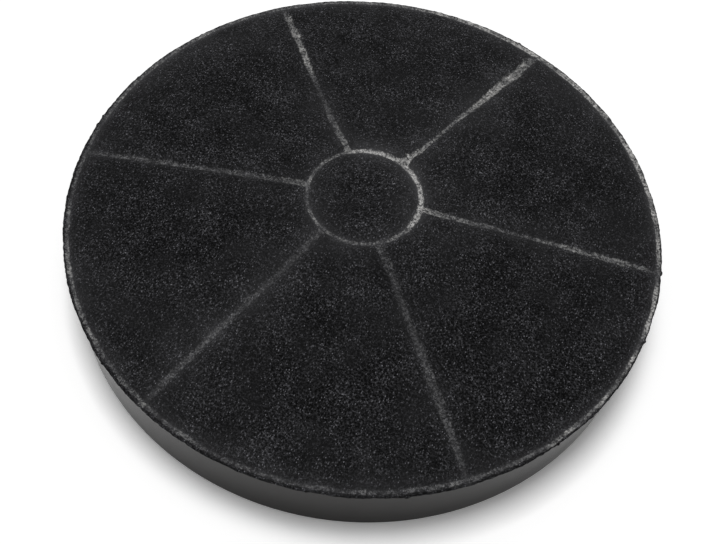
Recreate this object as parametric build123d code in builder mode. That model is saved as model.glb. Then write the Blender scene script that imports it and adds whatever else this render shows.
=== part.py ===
from build123d import *

import math
import os

# Round carbon filter of a cooker hood. A moulded plastic tray holds carbon granules in six cells, between
# a grille at the bottom and a sheet of needled felt that is welded over the top. The hub in the middle is
# a bayonet socket, open at the underside, that turns onto the lugs of the hood's motor housing.
# The origin is the middle of the underside, +Z goes up through the felt face and +X lies along a rib.

# Tray
wall_diameter = 232.0
wall_draft = 0.4
wall_foot_thickness = 1.8
rim_height = 29.2
foot_radius = 0.8
floor_thickness = 2.0
cell_count = 6
rib_thickness = 2.0

# Hub, which stands higher than the rim, so that the felt face is a very flat cone
hub_wall_thickness = 2.4
hub_rise = 9.4

# Bayonet socket
socket_plate_thickness = 2.4
socket_hole_diameter = 33.0
socket_ledge_width = 4.4
socket_depth = 14.0
socket_web_thickness = 1.6
notch_count = 3
notch_depth = 3.2
notch_angle = 26.0
notch_start_angle = 30.0
ramp_setback = 0.5
ramp_angle = 34.0
ramp_low = 0.5
ramp_high = 1.3
stop_angle = 7.0
stop_height = 4.0

# Grille of the floor
window_row_count = 6
first_row_window_count = 2
grille_margin = 2.7
ring_bar_width = 2.4
cross_bar_width = 2.2

# Felt face
felt_overhang = 0.5
felt_thickness = 2.6
felt_edge_thickness = 1.5
round_weld_thickness = 1.1
rib_weld_thickness = 1.3
weld_width = 2.0
weld_slope_width = 2.2
centre_pad_crown = 0.5

# Filling of the cells
liner_thickness = 2.0
fit_gap = 0.2

# Radii and heights that follow from the sizes above
wall_top_radius = wall_diameter / 2
wall_foot_radius = wall_top_radius - wall_draft
wall_inner_radius = wall_foot_radius - wall_foot_thickness
felt_radius = wall_top_radius + felt_overhang
socket_hole_radius = socket_hole_diameter / 2
hub_inner_radius = socket_hole_radius + socket_ledge_width
hub_outer_radius = hub_inner_radius + hub_wall_thickness
hub_ring_radius = (hub_inner_radius + hub_outer_radius) / 2
ramp_inner_radius = socket_hole_radius + ramp_setback
rim_weld_radius = (wall_top_radius + wall_inner_radius) / 2
cell_angle = 360 / cell_count
liner_top = floor_thickness + liner_thickness
hub_top = rim_height + hub_rise
face_slope = hub_rise / (wall_top_radius - hub_inner_radius)
face_tilt = math.atan(face_slope)

# Upright plane through the middle of the first cell, on which the round sections are drawn
half_cell = math.radians(cell_angle / 2)
section_plane = Plane(
    origin=(0, 0, 0),
    x_dir=(math.cos(half_cell), math.sin(half_cell), 0),
    z_dir=(math.sin(half_cell), -math.cos(half_cell), 0),
)


def face_height(radius):
    """Height of the cone that the top of the wall, the ribs and the hub end on."""
    return rim_height + (wall_top_radius - radius) * face_slope


def space_over_cone(drop):
    """Half section of what lies over the cone, when that is lowered by drop."""
    outside = wall_top_radius + felt_thickness
    ceiling = 2 * hub_top
    with BuildSketch(section_plane) as section:
        with BuildLine():
            Polyline(
                (0, hub_top - drop),
                (hub_inner_radius, hub_top - drop),
                (outside, face_height(outside) - drop),
                (outside, ceiling),
                (0, ceiling),
                close=True,
            )
        make_face()
    return section.sketch


def turned_plane(height, angle):
    """Level plane at a height, whose X is turned about the middle by an angle in degrees."""
    turn = math.radians(angle)
    return Plane(origin=(0, 0, height), x_dir=(math.cos(turn), math.sin(turn), 0), z_dir=(0, 0, 1))


def ring_sector(inner_radius, outer_radius, angle):
    """Flat piece of a ring, that starts on X and goes round by an angle in degrees."""
    with BuildSketch() as sector:
        with BuildLine():
            inner = CenterArc((0, 0), inner_radius, 0, angle)
            outer = CenterArc((0, 0), outer_radius, 0, angle)
            Line(inner @ 0, outer @ 0)
            Line(inner @ 1, outer @ 1)
        make_face()
    return sector.sketch


def cell_outline(gap):
    """Plan of the first cell, drawn in by a gap from the ribs, the wall and the hub."""
    side = rib_thickness / 2 + gap
    turn = math.radians(cell_angle)
    tip = side / math.tan(turn / 2)
    reach = 2 * wall_inner_radius
    far_corner = (
        reach * math.cos(turn) + side * math.sin(turn),
        reach * math.sin(turn) - side * math.cos(turn),
    )
    with BuildSketch() as outline:
        with BuildLine():
            Polyline((tip, side), (reach, side), far_corner, close=True)
        make_face()
        Circle(wall_inner_radius - gap, mode=Mode.INTERSECT)
        Circle(hub_outer_radius + gap, mode=Mode.SUBTRACT)
    return outline.sketch


def bayonet_ramp():
    """Ramp that starts on X and goes round, rising from its low end to its high end."""
    middle_radius = (ramp_inner_radius + hub_inner_radius) / 2
    half_turn = math.radians(ramp_angle / 2)
    chord = 2 * middle_radius * math.sin(half_turn)
    rise = math.atan((ramp_high - ramp_low) / chord)
    with BuildPart() as ramp:
        with BuildSketch():
            add(ring_sector(ramp_inner_radius, hub_inner_radius, ramp_angle))
        extrude(amount=2 * ramp_high)
        slope = Plane(
            origin=(middle_radius, 0, ramp_low),
            z_dir=(
                math.sin(half_turn) * math.sin(rise),
                -math.cos(half_turn) * math.sin(rise),
                math.cos(rise),
            ),
        )
        split(bisect_by=slope, keep=Keep.BOTTOM)
    return ramp.part


os.makedirs("parts", exist_ok=True)

# Housing: wall and floor, then ribs and hub, cut to the cone, then grille and socket
grille_inner_radius = hub_outer_radius + grille_margin
grille_outer_radius = wall_inner_radius - grille_margin
row_pitch = (grille_outer_radius - grille_inner_radius + ring_bar_width) / window_row_count
rib_reach = (wall_inner_radius + wall_foot_radius) / 2
with BuildPart() as housing:
    with BuildSketch(section_plane):
        with BuildLine():
            Polyline(
                (0, 0),
                (wall_foot_radius, 0),
                (wall_top_radius, rim_height),
                (wall_inner_radius, face_height(wall_inner_radius)),
                (wall_inner_radius, floor_thickness),
                (0, floor_thickness),
                close=True,
            )
        section = make_face()
        foot = section.vertices().group_by(Axis.X)[-2].sort_by(Axis.Y)[0]
        fillet(foot, foot_radius)
    revolve(axis=Axis.Z)

    with BuildSketch(Plane.XY.offset(floor_thickness / 2)):
        Circle(hub_outer_radius)
        with PolarLocations((hub_ring_radius + rib_reach) / 2, cell_count):
            Rectangle(rib_reach - hub_ring_radius, rib_thickness)
    extrude(amount=hub_top)
    revolve(space_over_cone(0), axis=Axis.Z, mode=Mode.SUBTRACT)

    for row in range(window_row_count):
        inner_radius = grille_inner_radius + row * row_pitch
        outer_radius = inner_radius + row_pitch - ring_bar_width
        bar_count = cell_count * (first_row_window_count + row)
        with BuildSketch():
            Circle(outer_radius)
            Circle(inner_radius, mode=Mode.SUBTRACT)
            with PolarLocations((inner_radius + outer_radius) / 2, bar_count):
                Rectangle(2 * row_pitch, cross_bar_width, mode=Mode.SUBTRACT)
        extrude(amount=floor_thickness, mode=Mode.SUBTRACT)

    with BuildSketch(Plane.XY.offset(socket_plate_thickness)):
        Circle(hub_inner_radius)
    extrude(amount=socket_depth - socket_plate_thickness, mode=Mode.SUBTRACT)
    with BuildSketch(Plane.XY.offset(socket_depth + socket_web_thickness)):
        Circle(hub_inner_radius)
    extrude(amount=hub_top, mode=Mode.SUBTRACT)

    for notch in range(notch_count):
        notch_side = notch_start_angle + notch * 360 / notch_count
        with BuildSketch(turned_plane(0, notch_side)):
            add(ring_sector(socket_hole_radius / 2, socket_hole_radius + notch_depth, notch_angle))
        extrude(amount=socket_plate_thickness, mode=Mode.SUBTRACT)
    with BuildSketch():
        Circle(socket_hole_radius)
    extrude(amount=socket_plate_thickness, mode=Mode.SUBTRACT)

    for notch in range(notch_count):
        ramp_side = notch_start_angle + notch * 360 / notch_count + notch_angle
        with BuildSketch(turned_plane(socket_plate_thickness, ramp_side + ramp_angle)):
            add(ring_sector(ramp_inner_radius, hub_inner_radius, stop_angle))
        extrude(amount=stop_height)
        with Locations(turned_plane(socket_plate_thickness, ramp_side)):
            add(bayonet_ramp())

housing.part.label = "housing"
export_step(housing.part, "parts/housing.step")

# Cover felt: full thickness between the welds, pressed thin on the rim, the ribs and the hub ring
weld_half = weld_width / 2
ring_weld_inner = hub_ring_radius - weld_half
ring_weld_outer = hub_ring_radius + weld_half
rim_weld_inner = rim_weld_radius - weld_half
rim_weld_outer = rim_weld_radius + weld_half
pad_edge = ring_weld_inner - weld_slope_width
pad_top = hub_top + felt_thickness + centre_pad_crown
pad_crown_radius = (pad_edge**2 + centre_pad_crown**2) / (2 * centre_pad_crown)
pad_crown_angle = math.degrees(math.asin(pad_edge / pad_crown_radius))
slope_top_inner = ring_weld_outer + weld_slope_width
slope_top_outer = rim_weld_inner - weld_slope_width
with BuildPart() as cover_felt:
    with BuildSketch(section_plane):
        with BuildLine():
            Polyline(
                (0, hub_top),
                (hub_inner_radius, hub_top),
                (felt_radius, face_height(felt_radius)),
                (felt_radius, face_height(felt_radius) + felt_edge_thickness),
                (rim_weld_outer, face_height(rim_weld_outer) + round_weld_thickness),
                (rim_weld_inner, face_height(rim_weld_inner) + round_weld_thickness),
                (slope_top_outer, face_height(slope_top_outer) + felt_thickness),
                (slope_top_inner, face_height(slope_top_inner) + felt_thickness),
                (ring_weld_outer, face_height(ring_weld_outer) + round_weld_thickness),
                (ring_weld_inner, face_height(ring_weld_outer) + round_weld_thickness),
                (pad_edge, hub_top + felt_thickness),
            )
            CenterArc(
                (0, pad_top - pad_crown_radius),
                pad_crown_radius,
                90 - pad_crown_angle,
                pad_crown_angle,
            )
            Line((0, pad_top), (0, hub_top))
        make_face()
    revolve(axis=Axis.Z)
    for cell in range(cell_count):
        turn = math.radians(cell * cell_angle)
        across_rib = Plane(
            origin=(0, 0, face_height(0) + rib_weld_thickness / math.cos(face_tilt)),
            x_dir=(-math.sin(turn), math.cos(turn), 0),
            z_dir=(
                math.cos(turn) * math.cos(face_tilt),
                math.sin(turn) * math.cos(face_tilt),
                -math.sin(face_tilt),
            ),
        )
        with BuildSketch(across_rib.offset(hub_ring_radius / math.cos(face_tilt))):
            with BuildLine():
                Polyline(
                    (-weld_half, 0),
                    (weld_half, 0),
                    (weld_half + 2 * weld_slope_width, 2 * (felt_thickness - rib_weld_thickness)),
                    (-weld_half - 2 * weld_slope_width, 2 * (felt_thickness - rib_weld_thickness)),
                    close=True,
                )
            make_face()
        weld_length = (rim_weld_radius - hub_ring_radius) / math.cos(face_tilt)
        extrude(amount=weld_length, mode=Mode.SUBTRACT)

cover_felt.part.label = "cover_felt"
export_step(cover_felt.part, "parts/cover_felt.step")

# Filling of each cell: a felt liner on the grille, and the granules on it, up to the cover felt
for cell in range(cell_count):
    turn = cell * cell_angle
    number = cell + 1
    with BuildPart() as liner_felt:
        with BuildSketch(turned_plane(floor_thickness, turn)):
            add(cell_outline(fit_gap))
        extrude(amount=liner_thickness)
    liner_felt.part.label = f"liner_felt_{number}"
    export_step(liner_felt.part, f"parts/liner_felt_{number}.step")

    with BuildPart() as carbon_bed:
        with BuildSketch(turned_plane(liner_top, turn)):
            add(cell_outline(fit_gap))
        extrude(amount=hub_top)
        revolve(space_over_cone(fit_gap), axis=Axis.Z, mode=Mode.SUBTRACT)
    carbon_bed.part.label = f"carbon_bed_{number}"
    export_step(carbon_bed.part, f"parts/carbon_bed_{number}.step")
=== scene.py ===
import math

import bpy
from mathutils import Matrix, Vector, noise


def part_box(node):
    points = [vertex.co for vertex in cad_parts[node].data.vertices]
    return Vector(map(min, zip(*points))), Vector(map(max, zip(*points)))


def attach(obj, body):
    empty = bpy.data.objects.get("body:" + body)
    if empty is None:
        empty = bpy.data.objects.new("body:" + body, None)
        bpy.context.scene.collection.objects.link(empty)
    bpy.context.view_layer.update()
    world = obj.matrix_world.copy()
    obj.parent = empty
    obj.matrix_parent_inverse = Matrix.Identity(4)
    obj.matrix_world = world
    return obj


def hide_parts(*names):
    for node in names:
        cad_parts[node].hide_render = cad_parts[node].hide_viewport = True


# Round carbon filter of a cooker hood, lying with its felt face up. The moulded tray and the carbon beds
# stay as they are and get their materials. The felt on top, with its pressed weld lines and its cut edge,
# and the felt liners that show through the grille are modelled here.

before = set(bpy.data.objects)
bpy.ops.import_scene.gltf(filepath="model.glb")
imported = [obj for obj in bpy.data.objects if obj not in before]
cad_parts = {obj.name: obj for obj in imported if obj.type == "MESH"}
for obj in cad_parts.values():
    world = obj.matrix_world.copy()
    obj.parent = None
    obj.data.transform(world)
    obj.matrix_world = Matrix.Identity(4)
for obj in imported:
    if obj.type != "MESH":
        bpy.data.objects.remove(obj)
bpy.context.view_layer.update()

MM = 0.001

# Sizes read from the frame
FELT_LOW, FELT_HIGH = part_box("cover_felt")
LINER_LOW, LINER_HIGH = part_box("liner_felt_1")
FELT_RADIUS = FELT_HIGH.x
HUB_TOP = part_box("housing")[1].z
EDGE_SEAT = FELT_LOW.z

# Sizes of the felt face that the boxes don't give
HUB_INNER_RADIUS = 20.9 * MM
HUB_RING_RADIUS = 22.1 * MM
RIM_WELD_RADIUS = 114.9 * MM
FELT_THICKNESS = 2.6 * MM
EDGE_THICKNESS = 1.5 * MM
RIB_WELD_THICKNESS = 1.3 * MM
ROUND_WELD_THICKNESS = 1.1 * MM
PAD_CROWN = 0.5 * MM
SEAT_SLOPE = (HUB_TOP - EDGE_SEAT) / (FELT_RADIUS - HUB_INNER_RADIUS)

# Pressed grooves: half the width that is flat, and how far from there the felt rises to its full height
ROUND_GROOVE_HALF = 0.4 * MM
RIB_GROOVE_HALF = 0.3 * MM
WELD_SLOPE = 2.6 * MM
RIB_SLOPE = 3.0 * MM
PAD_SLOPE = 1.6 * WELD_SLOPE
EDGE_RISE = 1.2 * MM

# Lumps of the felt, and the room that is left for them under its full thickness
SMALL_LUMP = 0.16 * MM
SMALL_LUMP_LENGTH = 3.5 * MM
LARGE_LUMP = 0.22 * MM
LARGE_LUMP_LENGTH = 14 * MM
LUMP_ROOM = 0.25 * MM

# Cut edge: slow waver, small nicks, tufts that stand out, and the bulge of the edge's side
EDGE_WAVER = 0.35 * MM
EDGE_WAVER_LENGTH = 11 * MM
EDGE_NICK = 0.26 * MM
EDGE_NICK_LENGTH = 1.6 * MM
TUFT = 0.5 * MM
TUFT_LENGTH = 2.4 * MM
EDGE_BULGE = 0.12 * MM

# Mesh of the cover felt: columns round it, and rows from the middle of its underside to the middle of its
# face. Rows lie close together at the rim and the hub ring, where the felt is pressed
FELT_COLUMNS = 960
UNDERSIDE_RADII = (0.0, HUB_INNER_RADIUS, 0.5 * FELT_RADIUS, RIM_WELD_RADIUS, FELT_RADIUS - 0.25 * MM)
EDGE_ROWS = (0.15, 0.5, 0.85)
RIM_ROW_INSETS = (0.25, 0.6, 1.0, 1.4, 1.8, 2.2, 2.6, 3.1, 3.6, 4.2, 5.0, 6.0)
ROW_STEPS = (
    (HUB_RING_RADIUS + 6 * MM, 1.7 * MM),
    (HUB_RING_RADIUS - 6 * MM, 0.55 * MM),
    (1.8 * MM, 1.5 * MM),
)
MERGE_DISTANCE = 0.01 * MM

# Cells of the tray, and the windows of the grille in its floor
CELLS = 6
CELL_ANGLE = 2 * math.pi / CELLS
WINDOW_ROWS = 6
FIRST_ROW_WINDOWS = 2
RING_BAR_WIDTH = 2.4 * MM
CROSS_BAR_WIDTH = 2.2 * MM
GRILLE_INNER_RADIUS = 26.0 * MM
GRILLE_OUTER_RADIUS = 111.1 * MM
ROW_PITCH = (GRILLE_OUTER_RADIUS - GRILLE_INNER_RADIUS + RING_BAR_WIDTH) / WINDOW_ROWS

# Liners on the grille: outline, mesh, and the sag into the windows, which is full from its reach on. They
# are a little thinner than their solids, and edges steeper than the last angle stay sharp
LINER_INNER_RADIUS = 23.5 * MM
LINER_OUTER_RADIUS = 113.6 * MM
LINER_SIDE_GAP = 1.2 * MM
LINER_COLUMNS = 92
LINER_ROWS = 76
LINER_SAG = 0.5 * MM
LINER_SAG_CHANGE = 0.12 * MM
LINER_SAG_LENGTH = 4 * MM
LINER_SAG_REACH = 3 * MM
LINER_THICKNESS_SHARE = 0.97
SHARP_EDGE = math.radians(50)

# Weld lines in the order that they go round from +X. Each has six stations from the hub ring to the rim
# weld: how far the line lies off its rib in mm, its half width in mm, how strongly it shows, and how far
# in mm its two borders stand apart where only they show. Three more stations say how much the pile beside
# it is pressed flat
# How strongly a line shows also sets how pale it is painted. That is partly the melted fibre's own grey and
# partly painted sheen, which is why the lines towards 0 to 120 degrees are given the most
WELD_LINES = (
    {"drift": (-0.9, -0.5, -0.2, -0.1, -0.2, -0.1), "half_width": (0.45, 0.5, 0.5, 0.8, 0.9, 0.85),
     "show": (0.6, 0.42, 0.2, 0.52, 0.46, 0.44), "split": (0.75, 0.35, 0.0, 0.0, 0.0, 0.0),
     "beside": (0.07, 0.05, 0.04)},
    {"drift": (-0.3, -0.6, 0.1, 0.0, 0.4, 0.8), "half_width": (1.4, 0.55, 0.6, 1.1, 1.35, 1.25),
     "show": (0.95, 0.5, 0.5, 0.72, 0.68, 0.48), "split": (0.0, 0.0, 0.0, 0.0, 0.0, 0.0),
     "beside": (0.11, 0.12, 0.12)},
    {"drift": (-1.0, 0.3, 0.4, 0.3, 0.1, 0.5), "half_width": (0.7, 0.65, 0.65, 0.95, 1.0, 1.0),
     "show": (0.54, 0.34, 0.06, 0.68, 0.58, 0.48), "split": (0.4, 0.45, 0.0, 0.0, 0.3, 0.0),
     "beside": (0.1, 0.05, 0.03)},
    {"drift": (0.0, -0.2, 0.1, 0.1, 0.2, 0.2), "half_width": (0.65, 0.7, 0.8, 0.85, 0.85, 0.85),
     "show": (0.46, 0.28, 0.22, 0.27, 0.24, 0.14), "split": (0.45, 0.3, 0.0, 0.0, 0.0, 0.0),
     "beside": (0.05, 0.02, 0.05)},
    {"drift": (-0.9, 0.2, 0.5, 0.2, 0.6, 1.0), "half_width": (1.1, 0.95, 0.9, 1.0, 1.0, 0.95),
     "show": (0.28, 0.11, 0.15, 0.24, 0.27, 0.12), "split": (0.0, 0.0, 0.0, 0.0, 0.0, 0.0),
     "beside": (0.09, 0.11, 0.1)},
    {"drift": (-1.5, -0.8, -0.5, 0.0, 0.1, 0.0), "half_width": (0.65, 0.75, 0.85, 1.05, 0.9, 0.8),
     "show": (0.2, 0.12, 0.17, 0.23, 0.2, 0.11), "split": (0.9, 0.5, 0.0, 0.4, 0.3, 0.0),
     "beside": (0.02, 0.03, 0.04)},
)
# Share of a weld line's length where it fades before the rim weld, and what is left of it there
LINE_FADE = (0.94, 0.99)
LINE_FADED_SHOW = 0.25
# The felt's mesh is bent to follow the weld lines: fully up to the first angle off a rib, and not at all
# from the second on
BEND_FULL = math.radians(4)
BEND_NONE = math.radians(20)

# Weld line along the rim at twelve stations round from +X: how far its middle lies inside the felt's edge
# in mm, its half width in mm, how strongly it shows, and how much the pile inside it is pressed flat. It
# shows most towards 30 to 60 degrees, a painted highlight on that side
RIM_INSET = (1.2, 1.2, 1.5, 1.0, 1.0, 1.4, 1.7, 1.5, 1.8, 1.5, 1.6, 1.1)
RIM_HALF_WIDTH = (0.5, 0.7, 0.75, 0.55, 0.5, 0.6, 0.55, 0.55, 0.6, 0.6, 0.7, 0.5)
RIM_SHOW = (0.62, 0.78, 0.84, 0.6, 0.4, 0.4, 0.26, 0.42, 0.3, 0.2, 0.3, 0.54)
RIM_BESIDE = (0.07, 0.08, 0.15, 0.1, 0.1, 0.16, 0.06, 0.06, 0.03, 0.08, 0.03, 0.01)

# Hub ring, painted brighter as a highlight on the side that faces one angle: half width, how strongly it
# shows and how much the pile beside it is pressed, on all of it and on top of that on the highlit side
HIGHLIGHT_SIDE_ANGLE = math.radians(42)
RING_HALF_WIDTH = 0.5 * MM
RING_HALF_WIDTH_HIGHLIT = 0.26 * MM
RING_SHOW = 0.42
RING_SHOW_HIGHLIT = 0.56
RING_BESIDE = 0.07
RING_BESIDE_HIGHLIT = 0.08

# Pale burr where the line on the fifth rib meets the rim
BURR_ANGLE = math.radians(240.5)
BURR_RADIUS = 115.1 * MM
BURR_SIZE = 0.9 * MM
BURR_SHOW = 0.6

# Wobble of the welding tool along the ribs, and along the hub ring and the rim
LINE_WOBBLE = 0.3 * MM
ROUND_WOBBLE = 0.25 * MM

# How far from a weld its distance is still counted, in half widths, and the strongest that a weld can show
REACH_LIMIT = 4.0
SHOW_LIMIT = 1.2

# Pile beside the welds: how much paler it is close by, and how far that and the faint rest reach. Outside
# the rim weld it ends sooner
NEAR_ROUND_WELD = 0.42
NEAR_RIB_WELD = 0.14
NEAR_REACH = 1.6 * MM
FAR_REACH = 9 * MM
OUTSIDE_RIM_FALL = 4

# Camera, fitted to the photograph's outline, weld lines and wall
IMAGE_WIDTH = 725
FOCAL_PIXELS = 980.0
AXIS_COLUMN = 305.0
SENSOR_WIDTH = 36.0
NEAREST_SEEN = 0.01
CAMERA_ELEVATION = math.radians(58.31)
CAMERA_ROLL = math.radians(1.99)
CAMERA_TURN = math.radians(12.3)
CAMERA_DISTANCE = 3.311 * FELT_RADIUS
CAMERA_RIGHT = -0.186 * FELT_RADIUS
CAMERA_UP = -0.217 * FELT_RADIUS
AIM_HEIGHT = EDGE_SEAT + EDGE_THICKNESS

# Studio: how bright the floor looks where its shadow is seen, where it goes over to plain white, the sky
# as a light, and one soft lamp overhead
FLOOR_SIZE = 12
FLOOR_GAIN = 1.15
FLOOR_SHADOW_END = 0.2
FLOOR_WHITE_START = 0.35
SKY_LIGHT = 0.4
LAMP_PLACE = (-0.12, 0.13, 1.7)
LAMP_SIZE = 0.6
LAMP_POWER = 17.5


def linear(colour):
    """Linear RGBA of an sRGB hex colour such as #202122."""
    values = [int(colour[i:i + 2], 16) / 255 for i in (1, 3, 5)]
    return [v / 12.92 if v <= 0.04045 else ((v + 0.055) / 1.055) ** 2.4 for v in values] + [1.0]


def smooth(low, high, value):
    """0 below low, 1 above high, with an eased change between."""
    t = min(1.0, max(0.0, (value - low) / (high - low)))
    return t * t * (3 - 2 * t)


def lumpy(x, y, length, seed):
    """Smooth noise from about -1 to 1 with lumps of the given length. Each seed gives other lumps."""
    return noise.noise(Vector((x / length + seed * 17.3, y / length - seed * 5.1, 0)))


def uneven(x, y, share, length, seed):
    """Factor round 1 that goes up and down by a share of it, with lumps of the given length."""
    return 1 + share * lumpy(x, y, length, seed)


def at_station(values, share):
    """Value at a share of the way along, eased between evenly spaced stations."""
    place = min(len(values) - 1.0, max(0.0, share * (len(values) - 1)))
    index = min(len(values) - 2, int(place))
    return values[index] + (values[index + 1] - values[index]) * smooth(0, 1, place - index)


def at_angle(values, angle):
    """Value at an angle, eased between stations evenly spaced all the way round."""
    return at_station(values + values[:1], angle / (2 * math.pi) % 1)


def deselect():
    """Leaves edit mode and selects nothing."""
    if bpy.context.object and bpy.context.object.mode != "OBJECT":
        bpy.ops.object.mode_set(mode="OBJECT")
    bpy.ops.object.select_all(action="DESELECT")


def make_camera():
    """Camera at the photograph's viewing angle."""
    forward = Vector((0, math.cos(CAMERA_ELEVATION), -math.sin(CAMERA_ELEVATION)))
    right = Vector((1, 0, 0))
    up = Vector((0, math.sin(CAMERA_ELEVATION), math.cos(CAMERA_ELEVATION)))
    place = right * CAMERA_RIGHT + up * CAMERA_UP - forward * CAMERA_DISTANCE
    rolled_right = math.cos(CAMERA_ROLL) * right + math.sin(CAMERA_ROLL) * up
    rolled_up = math.cos(CAMERA_ROLL) * up - math.sin(CAMERA_ROLL) * right
    stand = Matrix((rolled_right, rolled_up, -forward)).transposed().to_4x4()
    stand.translation = place
    data = bpy.data.cameras.new("camera")
    data.sensor_width = SENSOR_WIDTH
    data.lens = data.sensor_width * FOCAL_PIXELS / IMAGE_WIDTH
    data.shift_x = (IMAGE_WIDTH / 2 - AXIS_COLUMN) / IMAGE_WIDTH
    data.clip_start = NEAREST_SEEN
    camera = bpy.data.objects.new("camera", data)
    bpy.context.collection.objects.link(camera)
    lift = Matrix.Translation((0, 0, AIM_HEIGHT))
    camera.matrix_world = lift @ Matrix.Rotation(CAMERA_TURN, 4, "Z") @ stand
    bpy.context.scene.camera = camera


def seat_height(radius):
    """Height that the felt lies at: the flat top of the hub, then the very flat cone down to the rim."""
    return HUB_TOP - max(0.0, radius - HUB_INNER_RADIUS) * SEAT_SLOPE


def rib_share(along):
    """Share of the way from the hub ring to the rim weld."""
    return min(1.0, max(0.0, (along - HUB_RING_RADIUS) / (RIM_WELD_RADIUS - HUB_RING_RADIUS)))


def line_offset(index, along):
    """How far a weld line lies off its rib, with the wobble of the welding tool."""
    drift = at_station(WELD_LINES[index]["drift"], rib_share(along)) * MM
    return drift + LINE_WOBBLE * lumpy(along, index * 0.02, 8 * MM, seed=1)


def nearest_rib(angle):
    """Number of the nearest rib and the angle off it."""
    index = round(angle / CELL_ANGLE) % CELLS
    return index, (angle - index * CELL_ANGLE + math.pi) % (2 * math.pi) - math.pi


def rib_weld_at(x, y):
    """Distance to the nearest radial weld line, its number and the way along it."""
    radius = math.hypot(x, y)
    index, off = nearest_rib(math.atan2(y, x))
    along = radius * math.cos(off)
    return abs(radius * math.sin(off) - line_offset(index, along)), index, along


def highlight_side_share(angle):
    """1 on the side of the hub ring that is painted brighter as a highlight, 0 on the rest."""
    return smooth(0.1, 0.5, math.cos(angle - HIGHLIGHT_SIDE_ANGLE))


def round_welds(x, y):
    """Burr, hub ring and rim line as seen from a point: distance, half width and how strongly they show."""
    radius = math.hypot(x, y)
    angle = math.atan2(y, x)
    highlit = highlight_side_share(angle)
    wobble = ROUND_WOBBLE * lumpy(x, y, 6 * MM, seed=2)
    burr = math.hypot(x - BURR_RADIUS * math.cos(BURR_ANGLE), y - BURR_RADIUS * math.sin(BURR_ANGLE))
    ring_half = RING_HALF_WIDTH + RING_HALF_WIDTH_HIGHLIT * highlit
    ring_show = (RING_SHOW + RING_SHOW_HIGHLIT * highlit) * uneven(x, y, 0.8, 7 * MM, seed=8)
    rim_line = FELT_RADIUS - at_angle(RIM_INSET, angle) * MM
    rim_half = at_angle(RIM_HALF_WIDTH, angle) * uneven(x, y, 0.4, 5 * MM, seed=14) * MM
    rim_show = at_angle(RIM_SHOW, angle) * uneven(x, y, 0.9, 9 * MM, seed=9)
    return [
        (max(0.0, burr - BURR_SIZE), BURR_SIZE / 2, BURR_SHOW),
        (abs(radius - HUB_RING_RADIUS - wobble), ring_half, ring_show),
        (abs(radius - rim_line - wobble), rim_half, rim_show),
    ]


def weld_reach(x, y):
    """How far a point is from the nearest weld line in half widths, and how strongly that line shows."""
    found = round_welds(x, y)
    distance, index, along = rib_weld_at(x, y)
    if along > HUB_RING_RADIUS and math.hypot(x, y) < RIM_WELD_RADIUS:
        share = rib_share(along)
        line = WELD_LINES[index]
        half = at_station(line["half_width"], share) * uneven(x, y, 0.5, 6 * MM, seed=13) * MM
        show = at_station(line["show"], share) * (1 - (1 - LINE_FADED_SHOW) * smooth(*LINE_FADE, share))
        found.append((abs(distance - at_station(line["split"], share) * MM), half, show))
    distance, half, show = min(found, key=lambda weld: weld[0] / weld[1])
    show *= uneven(x, y, 0.6, 4 * MM, seed=12)
    return min(REACH_LIMIT, distance / half), max(0.0, min(SHOW_LIMIT, show))


def pressed_share(x, y):
    """How flat the pile is pressed beside a weld: most within 2 mm of it, a little out to about 20 mm."""
    radius = math.hypot(x, y)
    angle = math.atan2(y, x)
    highlit = highlight_side_share(angle)
    inside_rim = FELT_RADIUS - at_angle(RIM_INSET, angle) * MM - radius
    if inside_rim < 0:
        inside_rim *= -OUTSIDE_RIM_FALL
    found = [
        (abs(radius - HUB_RING_RADIUS), NEAR_ROUND_WELD * (0.5 + 0.5 * highlit),
         RING_BESIDE + RING_BESIDE_HIGHLIT * highlit),
        (inside_rim, NEAR_ROUND_WELD * (0.25 + at_angle(RIM_SHOW, angle)), at_angle(RIM_BESIDE, angle)),
    ]
    distance, index, along = rib_weld_at(x, y)
    if along > HUB_RING_RADIUS:
        found.append((distance, NEAR_RIB_WELD, at_station(WELD_LINES[index]["beside"], rib_share(along))))
    shares = [near * math.exp(-distance / NEAR_REACH) + far * math.exp(-distance / FAR_REACH)
              for distance, near, far in found]
    return min(1.0, max(shares) * uneven(x, y, 0.5, 8 * MM, seed=15))


def felt_lift(x, y):
    """Height of the felt's upper face over what it lies on: pressed thin at the welds, full between."""
    radius = math.hypot(x, y)
    if radius > RIM_WELD_RADIUS:
        rise = smooth(0, EDGE_RISE, radius - RIM_WELD_RADIUS)
        return ROUND_WELD_THICKNESS + (EDGE_THICKNESS - ROUND_WELD_THICKNESS) * rise
    lumps = SMALL_LUMP * lumpy(x, y, SMALL_LUMP_LENGTH, seed=3)
    lumps += LARGE_LUMP * lumpy(x, y, LARGE_LUMP_LENGTH, seed=4)
    full = FELT_THICKNESS - LUMP_ROOM + lumps
    if radius < HUB_RING_RADIUS:
        inward = smooth(ROUND_GROOVE_HALF, ROUND_GROOVE_HALF + PAD_SLOPE, HUB_RING_RADIUS - radius)
        crown = PAD_CROWN * (1 - (radius / HUB_RING_RADIUS) ** 2)
        return ROUND_WELD_THICKNESS + (full + crown - ROUND_WELD_THICKNESS) * inward
    distance, _, along = rib_weld_at(x, y)
    lift = full
    if along > 0:
        rib_rise = smooth(RIB_GROOVE_HALF, RIB_GROOVE_HALF + RIB_SLOPE, distance)
        lift = min(lift, RIB_WELD_THICKNESS + (full - RIB_WELD_THICKNESS) * rib_rise)
    out_of_ring = smooth(ROUND_GROOVE_HALF, ROUND_GROOVE_HALF + WELD_SLOPE, radius - HUB_RING_RADIUS)
    off_rim = smooth(ROUND_GROOVE_HALF, ROUND_GROOVE_HALF + WELD_SLOPE, RIM_WELD_RADIUS - radius)
    return ROUND_WELD_THICKNESS + (lift - ROUND_WELD_THICKNESS) * min(out_of_ring, off_rim)


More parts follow.
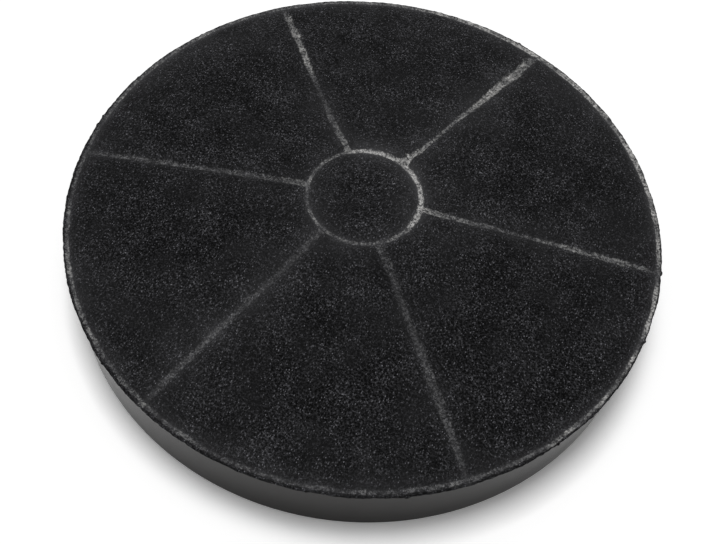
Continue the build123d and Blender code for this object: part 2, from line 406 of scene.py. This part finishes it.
def edge_waver(angle):
    """How far the cut edge wanders in or out, with small tufts where the needled fibres stand out."""
    x, y = FELT_RADIUS * math.cos(angle), FELT_RADIUS * math.sin(angle)
    waver = EDGE_WAVER * lumpy(x, y, EDGE_WAVER_LENGTH, seed=5)
    waver += EDGE_NICK * lumpy(x, y, EDGE_NICK_LENGTH, seed=6)
    return waver + TUFT * smooth(0.45, 0.7, lumpy(x, y, TUFT_LENGTH, seed=7))


def felt_rows():
    """Rows of the cover felt's mesh from the middle of its underside, out round its edge, to the middle
    of its face: the radius of each, and the side that it lies on or its share of the edge's height."""
    face = [FELT_RADIUS - inset * MM for inset in RIM_ROW_INSETS]
    for last_radius, step in ROW_STEPS:
        while face[-1] > last_radius:
            face.append(face[-1] - step)
    face.append(0.0)
    return ([(radius, "under") for radius in UNDERSIDE_RADII]
            + [(FELT_RADIUS, share) for share in EDGE_ROWS]
            + [(radius, "upper") for radius in face])


def felt_point(angle, radius, side):
    """Place of one point of the cover felt."""
    radius += smooth(RIM_WELD_RADIUS, FELT_RADIUS, radius) * edge_waver(angle)
    index, off = nearest_rib(angle)
    if radius > HUB_INNER_RADIUS:
        bend = 1 - smooth(BEND_FULL, BEND_NONE, abs(off))
        angle += bend * line_offset(index, radius) / radius
    x, y = radius * math.cos(angle), radius * math.sin(angle)
    z = seat_height(radius)
    if side == "upper":
        z += felt_lift(x, y)
    elif side != "under":
        z += side * EDGE_THICKNESS
        bulge = EDGE_BULGE * math.sin(side * math.pi)
        x += bulge * math.cos(angle)
        y += bulge * math.sin(angle)
    return x, y, z


def make_cover_felt():
    """Round sheet of needled felt: a grid wrapped round its middle into a closed disc."""
    rows = felt_rows()
    deselect()
    bpy.ops.mesh.primitive_grid_add(x_subdivisions=FELT_COLUMNS, y_subdivisions=len(rows) - 1, size=2)
    piece = bpy.context.object
    piece.name = "needled_cover_felt"
    mesh = piece.data
    for vertex in mesh.vertices:
        angle = (vertex.co.x + 1) * math.pi
        radius, side = rows[round((vertex.co.y + 1) / 2 * (len(rows) - 1))]
        vertex.co = felt_point(angle, radius, side)
    bpy.ops.object.mode_set(mode="EDIT")
    bpy.ops.mesh.select_all(action="SELECT")
    bpy.ops.mesh.remove_doubles(threshold=MERGE_DISTANCE)
    bpy.ops.mesh.normals_make_consistent(inside=False)
    bpy.ops.object.mode_set(mode="OBJECT")
    bpy.ops.object.shade_smooth()
    reach = mesh.attributes.new("weld_reach", "FLOAT", "POINT")
    shown = mesh.attributes.new("weld_show", "FLOAT", "POINT")
    pressed = mesh.attributes.new("pressed_share", "FLOAT", "POINT")
    for index, vertex in enumerate(mesh.vertices):
        reach.data[index].value, shown.data[index].value = weld_reach(vertex.co.x, vertex.co.y)
        pressed.data[index].value = pressed_share(vertex.co.x, vertex.co.y)
    return piece


def window_depth(radius, angle):
    """How far inside a grille window a point of the floor is, or 0 over a bar."""
    row = min(WINDOW_ROWS - 1, max(0, int((radius - GRILLE_INNER_RADIUS) / ROW_PITCH)))
    inner = GRILLE_INNER_RADIUS + row * ROW_PITCH
    from_rings = min(radius - inner, inner + ROW_PITCH - RING_BAR_WIDTH - radius)
    pitch = CELL_ANGLE / (FIRST_ROW_WINDOWS + row)
    from_bar = radius * math.sin(abs((angle + pitch / 2) % pitch - pitch / 2)) - CROSS_BAR_WIDTH / 2
    return max(0.0, min(from_rings, from_bar))


def make_liner_felt(cell):
    """Felt liner of one cell: lies on the grille and sags a little into its windows."""
    deselect()
    bpy.ops.mesh.primitive_grid_add(x_subdivisions=LINER_COLUMNS, y_subdivisions=LINER_ROWS, size=2)
    piece = bpy.context.object
    piece.name = f"needled_liner_felt_{cell}"
    for vertex in piece.data.vertices:
        radius = LINER_INNER_RADIUS + (vertex.co.x + 1) / 2 * (LINER_OUTER_RADIUS - LINER_INNER_RADIUS)
        margin = math.asin(LINER_SIDE_GAP / radius)
        within = margin + (vertex.co.y + 1) / 2 * (CELL_ANGLE - 2 * margin)
        angle = (cell - 1) * CELL_ANGLE + within
        x, y = radius * math.cos(angle), radius * math.sin(angle)
        inside = smooth(0, LINER_SAG_REACH, window_depth(radius, within))
        sag = inside * (LINER_SAG + LINER_SAG_CHANGE * lumpy(x, y, LINER_SAG_LENGTH, seed=11))
        vertex.co = (x, y, LINER_LOW.z - sag)
    solidify = piece.modifiers.new("thickness", "SOLIDIFY")
    solidify.thickness = LINER_THICKNESS_SHARE * (LINER_HIGH.z - LINER_LOW.z)
    solidify.offset = 1
    bpy.ops.object.modifier_apply(modifier=solidify.name)
    bpy.ops.object.shade_smooth_by_angle(angle=SHARP_EDGE)
    return piece


def add_node(tree, kind, settings=None, links=None):
    """Adds a node to a tree, sets its inputs, its properties or a ramp's stops, and links outputs to its
    inputs."""
    node = tree.nodes.new(kind)
    for name, value in (settings or {}).items():
        if name == "stops":
            ramp = node.color_ramp
            for element, (position, colour) in zip(ramp.elements, (value[0], value[-1])):
                element.position = position
                element.color = colour
            for position, colour in value[1:-1]:
                ramp.elements.new(position).color = colour
        elif isinstance(name, int) or name in node.inputs:
            node.inputs[name].default_value = value
        else:
            setattr(node, name, value)
    for name, output in (links or {}).items():
        tree.links.new(output, node.inputs[name])
    return node


def new_material(name):
    """Empty material with its output and principled shader."""
    material = bpy.data.materials.new(name)
    material.use_nodes = True
    tree = material.node_tree
    tree.nodes.clear()
    output = add_node(tree, "ShaderNodeOutputMaterial")
    shader = add_node(tree, "ShaderNodeBsdfPrincipled")
    tree.links.new(shader.outputs["BSDF"], output.inputs["Surface"])
    return material, tree, shader


def set_material(piece, material):
    """Gives a piece one material."""
    piece.data.materials.clear()
    piece.data.materials.append(material)


def needled_pile(tree, place):
    """Height of the needled pile: crossing fibres, clumps and uneven needling."""
    # Crossing fibres, 0.56 mm apart and 1.8 mm long, lying three ways. The real ones are far finer, and
    # these are drawn coarser so that they show
    strongest = None
    for turn in (14, 73, 131):
        laid = add_node(tree, "ShaderNodeMapping",
                        {"vector_type": "TEXTURE", "Rotation": (0, 0, math.radians(turn)),
                         "Scale": (3.2, 1.0, 1.0)}, {"Vector": place})
        fibres = add_node(tree, "ShaderNodeTexNoise",
                          {"Scale": 1.8 / MM, "Detail": 2.0, "Roughness": 0.6}, {"Vector": laid.outputs[0]})
        if strongest is None:
            strongest = fibres.outputs["Fac"]
        else:
            both = add_node(tree, "ShaderNodeMath", {"operation": "MAXIMUM"},
                            {0: strongest, 1: fibres.outputs["Fac"]})
            strongest = both.outputs[0]
    # Clumps of fibres, 0.8 mm across
    clumps = add_node(tree, "ShaderNodeTexNoise", {"Scale": 1.25 / MM, "Detail": 3.0, "Roughness": 0.8},
                      {"Vector": place})
    pile = add_node(tree, "ShaderNodeMath", {"operation": "ADD"},
                    {0: strongest, 1: clumps.outputs["Fac"]})
    # Uneven needling, in patches of 12 mm
    patches = add_node(tree, "ShaderNodeTexNoise", {"Scale": 0.08 / MM, "Detail": 2.0}, {"Vector": place})
    patch_by = add_node(tree, "ShaderNodeMapRange",
                        {"From Min": 0.3, "From Max": 0.7, "To Min": -0.05, "To Max": 0.05},
                        {"Value": patches.outputs["Fac"]})
    pile_height = add_node(tree, "ShaderNodeMath", {"operation": "ADD"},
                           {0: pile.outputs[0], 1: patch_by.outputs["Result"]})
    return pile_height.outputs[0]


def pile_colour(tree, place, pile_height):
    """Colour of the unmelted pile: black, darker where the pile is low, with painted shade in pits between
    the fibres, calmer patches and a few painted glints on fibre ends.
    """
    height = add_node(tree, "ShaderNodeMapRange", {"From Min": 0.8, "From Max": 1.4},
                      {"Value": pile_height})
    ground = add_node(tree, "ShaderNodeValToRGB",
                      {"stops": ((0.12, linear("#030303")), (0.33, linear("#111112")),
                                 (0.47, linear("#1e1e1f")), (0.6, linear("#2c2c2e")),
                                 (0.8, linear("#454548")), (0.93, linear("#7a7a7e")))},
                      {"Fac": height.outputs["Result"]})
    # Patches of 20 mm where the pile lies flat and shows less grain
    flat = add_node(tree, "ShaderNodeTexNoise", {"Scale": 0.048 / MM, "Detail": 3.0, "Roughness": 0.6},
                    {"Vector": place})
    flat_share = add_node(tree, "ShaderNodeMapRange",
                          {"From Min": 0.45, "From Max": 0.68, "To Min": 0.0, "To Max": 0.5},
                          {"Value": flat.outputs["Fac"]})
    # Painted shade in the pits between the fibres: up to 0.9 mm across, one to each 1.1 mm
    shade_pits = add_node(tree, "ShaderNodeTexVoronoi", {"voronoi_dimensions": "2D", "Scale": 0.9 / MM},
                    {"Vector": place})
    pit_shade = add_node(tree, "ShaderNodeMapRange",
                        {"From Min": 0.12, "From Max": 0.42, "To Min": 1.0, "To Max": 0.0},
                        {"Value": shade_pits.outputs["Distance"]})
    with_pit_shade = add_node(tree, "ShaderNodeMix", {"data_type": "RGBA", 7: linear("#020202")},
                      {0: pit_shade.outputs["Result"], 6: ground.outputs["Color"]})
    calm = add_node(tree, "ShaderNodeMix", {"data_type": "RGBA", 7: linear("#1f1f20")},
                    {0: flat_share.outputs["Result"], 6: with_pit_shade.outputs[2]})
    # Painted glints of fibre ends that catch the light: 0.7 mm long and 0.4 mm wide, lying askew, one to
    # each 0.9 to 1.5 mm, and few of them bright
    lean = add_node(tree, "ShaderNodeMapping",
                    {"vector_type": "TEXTURE", "Rotation": (0, 0, math.radians(75)),
                     "Scale": (1.5, 0.85, 1.0)}, {"Vector": place})
    glint_cells = add_node(tree, "ShaderNodeTexVoronoi", {"voronoi_dimensions": "2D", "Scale": 0.98 / MM},
                    {"Vector": lean.outputs[0]})
    glint_spot = add_node(tree, "ShaderNodeMapRange",
                        {"From Min": 0.05, "From Max": 0.24, "To Min": 1.0, "To Max": 0.0},
                        {"Value": glint_cells.outputs["Distance"]})
    glint_pick = add_node(tree, "ShaderNodeMapRange", {"From Min": 0.62, "From Max": 1.0, "To Max": 1.0},
                        {"Value": glint_cells.outputs["Color"]})
    glint_strength = add_node(tree, "ShaderNodeMath", {"operation": "MULTIPLY"},
                         {0: glint_spot.outputs["Result"], 1: glint_pick.outputs["Result"]})
    glint_room = add_node(tree, "ShaderNodeMath", {"operation": "SUBTRACT", 0: 1.0},
                        {1: flat_share.outputs["Result"]})
    glint_share = add_node(tree, "ShaderNodeMath", {"operation": "MULTIPLY"},
                         {0: glint_strength.outputs[0], 1: glint_room.outputs[0]})
    with_glints = add_node(tree, "ShaderNodeMix", {"data_type": "RGBA", 7: linear("#8a8a90")},
                         {0: glint_share.outputs[0], 6: calm.outputs[2]})
    # Beside the welds the pile is pressed flat and looks paler
    pressed = add_node(tree, "ShaderNodeAttribute", {"attribute_name": "pressed_share"})
    with_pressed = add_node(tree, "ShaderNodeMix", {"data_type": "RGBA", 7: linear("#606062")},
                            {0: pressed.outputs["Fac"], 6: with_glints.outputs[2]})
    return with_pressed.outputs[2]


def melted_share(tree, place, shown):
    """How much of the surface is melted fibre: a ragged line, strongest at its two borders, in specks."""
    reach = add_node(tree, "ShaderNodeAttribute", {"attribute_name": "weld_reach"})
    # The line's edge is ragged over 1.8 mm
    ragged = add_node(tree, "ShaderNodeTexNoise", {"Scale": 0.55 / MM, "Detail": 3.0, "Roughness": 0.7},
                      {"Vector": place})
    ragged_by = add_node(tree, "ShaderNodeMapRange",
                         {"From Min": 0.3, "From Max": 0.7, "To Min": -0.6, "To Max": 0.6},
                         {"Value": ragged.outputs["Fac"]})
    ragged_reach = add_node(tree, "ShaderNodeMath", {"operation": "ADD"},
                            {0: reach.outputs["Fac"], 1: ragged_by.outputs["Result"]})
    # The tool's two borders press harder than its middle. The ramp spans 2.5 half widths
    ramp_place = add_node(tree, "ShaderNodeMath", {"operation": "MULTIPLY", 1: 0.4},
                          {0: ragged_reach.outputs[0]})
    profile = add_node(tree, "ShaderNodeValToRGB",
                       {"stops": ((0.0, (0.62, 0.62, 0.62, 1)), (0.25, (1, 1, 1, 1)),
                                  (0.7, (0, 0, 0, 1)))},
                       {"Fac": ramp_place.outputs[0]})
    profile.color_ramp.interpolation = "EASE"
    # Melted specks of 1 mm. A faint weld has fewer of them and lets the pile show through
    specks = add_node(tree, "ShaderNodeTexNoise", {"Scale": 1.0 / MM, "Detail": 3.0, "Roughness": 0.8},
                      {"Vector": place})
    weld_cover = add_node(tree, "ShaderNodeMapRange",
                          {"From Min": 0.0, "From Max": 0.7, "To Min": 0.3, "To Max": 1.0},
                          {"Value": shown})
    fewer = add_node(tree, "ShaderNodeMapRange",
                     {"From Min": 0.0, "From Max": 0.7, "To Min": -0.1, "To Max": 0.0}, {"Value": shown})
    speck_level = add_node(tree, "ShaderNodeMath", {"operation": "ADD"},
                           {0: specks.outputs["Fac"], 1: fewer.outputs["Result"]})
    speck_share = add_node(tree, "ShaderNodeMapRange",
                           {"From Min": 0.4, "From Max": 0.6, "To Min": 0.0, "To Max": 1.0},
                           {"Value": speck_level.outputs[0]})
    covered = add_node(tree, "ShaderNodeMath", {"operation": "MULTIPLY"},
                       {0: profile.outputs["Color"], 1: weld_cover.outputs["Result"]})
    melted = add_node(tree, "ShaderNodeMath", {"operation": "MULTIPLY"},
                      {0: covered.outputs[0], 1: speck_share.outputs["Result"]})
    return melted.outputs[0]


def felt_material():
    """Needled polyester felt, black: dead matt, with painted shade in the pits between crossing fibres and
    a few painted glints on fibre ends. Where the welding tool pressed it, the fibres are melted flat and
    look grey and patchy, partly their own tone and partly painted sheen."""
    material, tree, shader = new_material("needled_black_polyester_felt")
    place = add_node(tree, "ShaderNodeTexCoord").outputs["Object"]
    shown = add_node(tree, "ShaderNodeAttribute", {"attribute_name": "weld_show"}).outputs["Fac"]
    pile_height = needled_pile(tree, place)
    melted = melted_share(tree, place, shown)
    # Melted fibre is painted paler the more strongly its weld shows: partly the melted fibre's own grey,
    # partly painted sheen that stands in for light mirrored off the glossy melt
    melt_tone_and_sheen = add_node(tree, "ShaderNodeValToRGB",
                     {"stops": ((0.0, linear("#6a6a6b")), (0.25, linear("#8c8c8d")),
                                (0.5, linear("#9a9a99")), (0.75, linear("#a9a8a6")),
                                (1.0, linear("#c8c7c5")))}, {"Fac": shown})
    colour = add_node(tree, "ShaderNodeMix", {"data_type": "RGBA"},
                      {0: melted, 6: pile_colour(tree, place, pile_height), 7: melt_tone_and_sheen.outputs["Color"]})
    tree.links.new(colour.outputs[2], shader.inputs["Base Color"])
    roughness = add_node(tree, "ShaderNodeMapRange", {"To Min": 0.95, "To Max": 0.6}, {"Value": melted})
    tree.links.new(roughness.outputs["Result"], shader.inputs["Roughness"])
    shader.inputs["Specular IOR Level"].default_value = 0.05
    bump = add_node(tree, "ShaderNodeBump", {"Strength": 0.9, "Distance": 0.4 * MM},
                    {"Height": pile_height})
    tree.links.new(bump.outputs["Normal"], shader.inputs["Normal"])
    return material


def liner_felt_material():
    """Needled polyester felt of the liner, dark grey: matt, with plain fibre grain and no weld marks."""
    material, tree, shader = new_material("needled_dark_grey_polyester_liner_felt")
    place = add_node(tree, "ShaderNodeTexCoord").outputs["Object"]
    # Fibre grain of 0.7 mm, drawn coarser than the real one so that it shows
    fibres = add_node(tree, "ShaderNodeTexNoise", {"Scale": 1.45 / MM, "Detail": 3.0, "Roughness": 0.7},
                      {"Vector": place})
    ground = add_node(tree, "ShaderNodeValToRGB",
                      {"stops": ((0.3, linear("#0c0c0d")), (0.5, linear("#242426")),
                                 (0.72, linear("#606063")))},
                      {"Fac": fibres.outputs["Fac"]})
    tree.links.new(ground.outputs["Color"], shader.inputs["Base Color"])
    shader.inputs["Roughness"].default_value = 0.95
    shader.inputs["Specular IOR Level"].default_value = 0.05
    bump = add_node(tree, "ShaderNodeBump", {"Strength": 0.8, "Distance": 0.4 * MM},
                    {"Height": fibres.outputs["Fac"]})
    tree.links.new(bump.outputs["Normal"], shader.inputs["Normal"])
    return material


def plastic_material():
    """Injection-moulded polypropylene, black: satin, with the fine grain of a spark-eroded mould."""
    material, tree, shader = new_material("moulded_black_polypropylene")
    place = add_node(tree, "ShaderNodeTexCoord").outputs["Object"]
    # Mould grain of 0.25 mm, only in the bump
    grain = add_node(tree, "ShaderNodeTexNoise", {"Scale": 4.0 / MM, "Detail": 2.0}, {"Vector": place})
    # Flow marks and handling, 15 mm across, change the gloss and the black a little
    handling = add_node(tree, "ShaderNodeTexNoise", {"Scale": 0.065 / MM, "Detail": 4.0},
                        {"Vector": place})
    roughness = add_node(tree, "ShaderNodeMapRange",
                         {"From Min": 0.3, "From Max": 0.7, "To Min": 0.13, "To Max": 0.18},
                         {"Value": handling.outputs["Fac"]})
    tree.links.new(roughness.outputs["Result"], shader.inputs["Roughness"])
    colour = add_node(tree, "ShaderNodeMix",
                      {"data_type": "RGBA", 6: linear("#0f0e0d"), 7: linear("#161413")},
                      {0: handling.outputs["Fac"]})
    tree.links.new(colour.outputs[2], shader.inputs["Base Color"])
    # Polypropylene's IOR. The low level keeps the dark wall from mirroring the white floor too strongly
    shader.inputs["IOR"].default_value = 1.49
    shader.inputs["Specular IOR Level"].default_value = 0.038
    shader.inputs["Specular Tint"].default_value = linear("#ffeae0")
    bump = add_node(tree, "ShaderNodeBump", {"Strength": 0.15, "Distance": 0.02 * MM},
                    {"Height": grain.outputs["Fac"]})
    tree.links.new(bump.outputs["Normal"], shader.inputs["Normal"])
    return material


def granule_material():
    """Crushed activated carbon: dull black grains of about 2 mm, with painted shade in the gaps between
    them.
    """
    material, tree, shader = new_material("crushed_activated_carbon")
    place = add_node(tree, "ShaderNodeTexCoord").outputs["Object"]
    grains = add_node(tree, "ShaderNodeTexVoronoi", {"Scale": 0.5 / MM}, {"Vector": place})
    # Painted shade: each grain is darker towards the gaps round it
    colour = add_node(tree, "ShaderNodeMix",
                      {"data_type": "RGBA", 6: linear("#1c1c1c"), 7: linear("#070707")},
                      {0: grains.outputs["Distance"]})
    tree.links.new(colour.outputs[2], shader.inputs["Base Color"])
    shader.inputs["Roughness"].default_value = 0.75
    bump = add_node(tree, "ShaderNodeBump", {"Strength": 0.9, "Distance": 0.6 * MM, "invert": True},
                    {"Height": grains.outputs["Distance"]})
    tree.links.new(bump.outputs["Normal"], shader.inputs["Normal"])
    return material


def make_stage():
    """Plain white floor that keeps the filter's shadow. The camera and mirrored rays see it a little
    brighter than it lights, and as plain white away from the filter."""
    deselect()
    bpy.ops.mesh.primitive_plane_add(size=FLOOR_SIZE)
    floor = bpy.context.object
    floor.name = "floor"
    material, tree, shader = new_material("white_paper_sweep")
    shader.inputs["Base Color"].default_value = linear("#f0f0f0")
    shader.inputs["Roughness"].default_value = 0.9
    place = add_node(tree, "ShaderNodeTexCoord").outputs["Object"]
    distance = add_node(tree, "ShaderNodeVectorMath", {"operation": "LENGTH"}, {0: place})
    away = add_node(tree, "ShaderNodeMapRange",
                    {"interpolation_type": "SMOOTHSTEP", "From Min": FLOOR_SHADOW_END,
                     "From Max": FLOOR_WHITE_START}, {"Value": distance.outputs["Value"]})
    near = add_node(tree, "ShaderNodeBsdfDiffuse", {"Color": [FLOOR_GAIN, FLOOR_GAIN, FLOOR_GAIN, 1.0]})
    white = add_node(tree, "ShaderNodeEmission", {"Color": [1.0, 1.0, 1.0, 1.0], "Strength": 1.0})
    seen = add_node(tree, "ShaderNodeMixShader", {},
                    {0: away.outputs["Result"], 1: near.outputs[0], 2: white.outputs[0]})
    rays = add_node(tree, "ShaderNodeLightPath")
    straight = add_node(tree, "ShaderNodeMath", {"operation": "MAXIMUM"},
                        {0: rays.outputs["Is Camera Ray"], 1: rays.outputs["Is Glossy Ray"]})
    mix = add_node(tree, "ShaderNodeMixShader", {},
                   {0: straight.outputs[0], 1: shader.outputs[0], 2: seen.outputs[0]})
    output = next(node for node in tree.nodes if node.type == "OUTPUT_MATERIAL")
    tree.links.new(mix.outputs[0], output.inputs["Surface"])
    set_material(floor, material)


def make_world():
    """White studio: full white where it is seen or mirrored, dimmer as a light."""
    world = bpy.data.worlds.new("studio")
    bpy.context.scene.world = world
    world.use_nodes = True
    tree = world.node_tree
    tree.nodes.clear()
    rays = add_node(tree, "ShaderNodeLightPath")
    straight = add_node(tree, "ShaderNodeMath", {"operation": "MAXIMUM"},
                        {0: rays.outputs["Is Camera Ray"], 1: rays.outputs["Is Glossy Ray"]})
    seen = add_node(tree, "ShaderNodeMath", {"operation": "MAXIMUM"},
                    {0: straight.outputs[0], 1: rays.outputs["Is Transmission Ray"]})
    strength = add_node(tree, "ShaderNodeMapRange", {"To Min": SKY_LIGHT, "To Max": 1.0},
                        {"Value": seen.outputs[0]})
    sky = add_node(tree, "ShaderNodeBackground", {"Color": [1, 1, 1, 1]},
                   {"Strength": strength.outputs["Result"]})
    output = add_node(tree, "ShaderNodeOutputWorld")
    tree.links.new(sky.outputs[0], output.inputs[0])


def make_lamp():
    """Square soft lamp overhead, facing the filter."""
    data = bpy.data.lights.new("soft_key_overhead", "AREA")
    data.size = LAMP_SIZE
    data.energy = LAMP_POWER
    lamp = bpy.data.objects.new("soft_key_overhead", data)
    bpy.context.collection.objects.link(lamp)
    lamp.location = LAMP_PLACE
    lamp.rotation_euler = (-Vector(LAMP_PLACE)).to_track_quat("-Z", "Y").to_euler()


make_camera()

felt = felt_material()
liner_felt = liner_felt_material()
plastic = plastic_material()
granules = granule_material()

cover = make_cover_felt()
set_material(cover, felt)
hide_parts("cover_felt")
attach(cover, "root")

set_material(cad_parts["housing"], plastic)
for cell in range(1, CELLS + 1):
    set_material(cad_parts[f"carbon_bed_{cell}"], granules)
    liner = make_liner_felt(cell)
    set_material(liner, liner_felt)
    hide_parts(f"liner_felt_{cell}")
    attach(liner, "root")

make_stage()
make_world()
make_lamp()

bpy.context.scene.view_settings.view_transform = "Standard"
